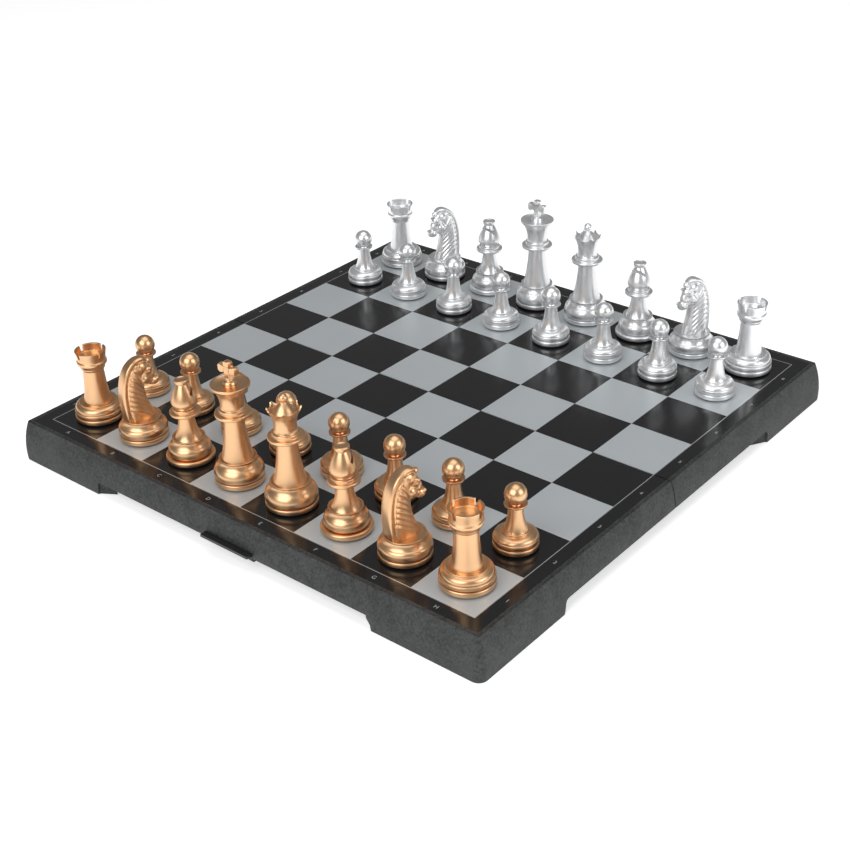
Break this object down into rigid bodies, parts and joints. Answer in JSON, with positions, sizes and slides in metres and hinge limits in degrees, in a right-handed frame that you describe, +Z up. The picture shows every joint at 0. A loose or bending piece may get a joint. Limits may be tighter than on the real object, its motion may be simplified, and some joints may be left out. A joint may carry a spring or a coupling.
{
  "type": "folding magnetic chess set",
  "caption": "Folding chess board in two moulded halves with storage trays, a linked fold hinge, a latch, and magnetic turned chess pieces that lift off the squares.",
  "frame": {"origin": "centre of the open board, on the table under the feet", "axes": "+X along the ranks from file a to file h, +Y from rank 1 with the gold pieces to rank 8 with the silver ones, +Z up"},
  "size_m": [0.3584, 0.3622, 0.1015],
  "materials": {
    "shell": "charcoal, fine moulded grain",
    "sheet": "gloss black print with satin silver-grey squares",
    "steel": "plain cold-rolled sheet, glued out of sight",
    "tray": "black, fine matt",
    "hinge": "satin steel",
    "latch": "gloss black",
    "gold": "satin champagne-gold plating",
    "silver": "bright satin silver plating"
  },
  "bodies": {
    "front_half": {"shell_front": "shell", "sheet_front": "sheet", "steel_plate_front": "steel", "tray_front": "tray", "hinge_pins_front": "hinge", "latch_bracket": "latch", "latch_pin": "hinge"},
    "hinge_link": {"hinge_links": "hinge"},
    "rear_half": {"shell_rear": "shell", "sheet_rear": "sheet", "steel_plate_rear": "steel", "tray_rear": "tray", "hinge_pins_rear": "hinge", "latch_keeper": "latch"},
    "latch": {"latch_flap": "latch"},
    "piece_gold_rook_a": {"gold_rook_a": "gold"},
    "piece_gold_knight_b": {"gold_knight_b": "gold"},
    "piece_gold_bishop_c": {"gold_bishop_c": "gold"},
    "piece_gold_king_d": {"gold_king_d": "gold"},
    "piece_gold_queen_e": {"gold_queen_e": "gold"},
    "piece_gold_bishop_f": {"gold_bishop_f": "gold"},
    "piece_gold_knight_g": {"gold_knight_g": "gold"},
    "piece_gold_rook_h": {"gold_rook_h": "gold"},
    "piece_gold_pawn_a": {"gold_pawn_a": "gold"},
    "piece_gold_pawn_b": {"gold_pawn_b": "gold"},
    "piece_gold_pawn_c": {"gold_pawn_c": "gold"},
    "piece_gold_pawn_d": {"gold_pawn_d": "gold"},
    "piece_gold_pawn_e": {"gold_pawn_e": "gold"},
    "piece_gold_pawn_f": {"gold_pawn_f": "gold"},
    "piece_gold_pawn_g": {"gold_pawn_g": "gold"},
    "piece_gold_pawn_h": {"gold_pawn_h": "gold"},
    "piece_silver_rook_a": {"silver_rook_a": "silver"},
    "piece_silver_knight_b": {"silver_knight_b": "silver"},
    "piece_silver_bishop_c": {"silver_bishop_c": "silver"},
    "piece_silver_king_d": {"silver_king_d": "silver"},
    "piece_silver_queen_e": {"silver_queen_e": "silver"},
    "piece_silver_bishop_f": {"silver_bishop_f": "silver"},
    "piece_silver_knight_g": {"silver_knight_g": "silver"},
    "piece_silver_rook_h": {"silver_rook_h": "silver"},
    "piece_silver_pawn_a": {"silver_pawn_a": "silver"},
    "piece_silver_pawn_b": {"silver_pawn_b": "silver"},
    "piece_silver_pawn_c": {"silver_pawn_c": "silver"},
    "piece_silver_pawn_d": {"silver_pawn_d": "silver"},
    "piece_silver_pawn_e": {"silver_pawn_e": "silver"},
    "piece_silver_pawn_f": {"silver_pawn_f": "silver"},
    "piece_silver_pawn_g": {"silver_pawn_g": "silver"},
    "piece_silver_pawn_h": {"silver_pawn_h": "silver"}
  },
  "joints": [
    {"name": "fold_front", "type": "hinge", "parent": "front_half", "child": "hinge_link", "pos_m": [0, -0.0042, 0.004], "axis": [-1, 0, 0], "range_deg": [0, 90]},
    {"name": "fold_rear", "type": "hinge", "parent": "hinge_link", "child": "rear_half", "pos_m": [0, 0.0042, 0.004], "axis": [-1, 0, 0], "range_deg": [0, 90]},
    {"name": "latch_swing", "type": "hinge", "parent": "front_half", "child": "latch", "pos_m": [0.0045, -0.1772, 0.008], "axis": [-1, 0, 0], "range_deg": [0, 140]},
    {"name": "gold_rook_a_lift", "type": "slide", "parent": "front_half", "child": "piece_gold_rook_a", "axis": [0, 0, 1], "range_m": [0, 0.06]},
    {"name": "gold_knight_b_lift", "type": "slide", "parent": "front_half", "child": "piece_gold_knight_b", "axis": [0, 0, 1], "range_m": [0, 0.06]},
    {"name": "gold_bishop_c_lift", "type": "slide", "parent": "front_half", "child": "piece_gold_bishop_c", "axis": [0, 0, 1], "range_m": [0, 0.06]},
    {"name": "gold_king_d_lift", "type": "slide", "parent": "front_half", "child": "piece_gold_king_d", "axis": [0, 0, 1], "range_m": [0, 0.06]},
    {"name": "gold_queen_e_lift", "type": "slide", "parent": "front_half", "child": "piece_gold_queen_e", "axis": [0, 0, 1], "range_m": [0, 0.06]},
    {"name": "gold_bishop_f_lift", "type": "slide", "parent": "front_half", "child": "piece_gold_bishop_f", "axis": [0, 0, 1], "range_m": [0, 0.06]},
    {"name": "gold_knight_g_lift", "type": "slide", "parent": "front_half", "child": "piece_gold_knight_g", "axis": [0, 0, 1], "range_m": [0, 0.06]},
    {"name": "gold_rook_h_lift", "type": "slide", "parent": "front_half", "child": "piece_gold_rook_h", "axis": [0, 0, 1], "range_m": [0, 0.06]},
    {"name": "gold_pawn_a_lift", "type": "slide", "parent": "front_half", "child": "piece_gold_pawn_a", "axis": [0, 0, 1], "range_m": [0, 0.06]},
    {"name": "gold_pawn_b_lift", "type": "slide", "parent": "front_half", "child": "piece_gold_pawn_b", "axis": [0, 0, 1], "range_m": [0, 0.06]},
    {"name": "gold_pawn_c_lift", "type": "slide", "parent": "front_half", "child": "piece_gold_pawn_c", "axis": [0, 0, 1], "range_m": [0, 0.06]},
    {"name": "gold_pawn_d_lift", "type": "slide", "parent": "front_half", "child": "piece_gold_pawn_d", "axis": [0, 0, 1], "range_m": [0, 0.06]},
    {"name": "gold_pawn_e_lift", "type": "slide", "parent": "front_half", "child": "piece_gold_pawn_e", "axis": [0, 0, 1], "range_m": [0, 0.06]},
    {"name": "gold_pawn_f_lift", "type": "slide", "parent": "front_half", "child": "piece_gold_pawn_f", "axis": [0, 0, 1], "range_m": [0, 0.06]},
    {"name": "gold_pawn_g_lift", "type": "slide", "parent": "front_half", "child": "piece_gold_pawn_g", "axis": [0, 0, 1], "range_m": [0, 0.06]},
    {"name": "gold_pawn_h_lift", "type": "slide", "parent": "front_half", "child": "piece_gold_pawn_h", "axis": [0, 0, 1], "range_m": [0, 0.06]},
    {"name": "silver_rook_a_lift", "type": "slide", "parent": "rear_half", "child": "piece_silver_rook_a", "axis": [0, 0, 1], "range_m": [0, 0.06]},
    {"name": "silver_knight_b_lift", "type": "slide", "parent": "rear_half", "child": "piece_silver_knight_b", "axis": [0, 0, 1], "range_m": [0, 0.06]},
    {"name": "silver_bishop_c_lift", "type": "slide", "parent": "rear_half", "child": "piece_silver_bishop_c", "axis": [0, 0, 1], "range_m": [0, 0.06]},
    {"name": "silver_king_d_lift", "type": "slide", "parent": "rear_half", "child": "piece_silver_king_d", "axis": [0, 0, 1], "range_m": [0, 0.06]},
    {"name": "silver_queen_e_lift", "type": "slide", "parent": "rear_half", "child": "piece_silver_queen_e", "axis": [0, 0, 1], "range_m": [0, 0.06]},
    {"name": "silver_bishop_f_lift", "type": "slide", "parent": "rear_half", "child": "piece_silver_bishop_f", "axis": [0, 0, 1], "range_m": [0, 0.06]},
    {"name": "silver_knight_g_lift", "type": "slide", "parent": "rear_half", "child": "piece_silver_knight_g", "axis": [0, 0, 1], "range_m": [0, 0.06]},
    {"name": "silver_rook_h_lift", "type": "slide", "parent": "rear_half", "child": "piece_silver_rook_h", "axis": [0, 0, 1], "range_m": [0, 0.06]},
    {"name": "silver_pawn_a_lift", "type": "slide", "parent": "rear_half", "child": "piece_silver_pawn_a", "axis": [0, 0, 1], "range_m": [0, 0.06]},
    {"name": "silver_pawn_b_lift", "type": "slide", "parent": "rear_half", "child": "piece_silver_pawn_b", "axis": [0, 0, 1], "range_m": [0, 0.06]},
    {"name": "silver_pawn_c_lift", "type": "slide", "parent": "rear_half", "child": "piece_silver_pawn_c", "axis": [0, 0, 1], "range_m": [0, 0.06]},
    {"name": "silver_pawn_d_lift", "type": "slide", "parent": "rear_half", "child": "piece_silver_pawn_d", "axis": [0, 0, 1], "range_m": [0, 0.06]},
    {"name": "silver_pawn_e_lift", "type": "slide", "parent": "rear_half", "child": "piece_silver_pawn_e", "axis": [0, 0, 1], "range_m": [0, 0.06]},
    {"name": "silver_pawn_f_lift", "type": "slide", "parent": "rear_half", "child": "piece_silver_pawn_f", "axis": [0, 0, 1], "range_m": [0, 0.06]},
    {"name": "silver_pawn_g_lift", "type": "slide", "parent": "rear_half", "child": "piece_silver_pawn_g", "axis": [0, 0, 1], "range_m": [0, 0.06]},
    {"name": "silver_pawn_h_lift", "type": "slide", "parent": "rear_half", "child": "piece_silver_pawn_h", "axis": [0, 0, 1], "range_m": [0, 0.06]}
  ],
  "couplings": [
    {"joint": "fold_rear", "follows": "fold_front", "ratio": 1}
  ]
}
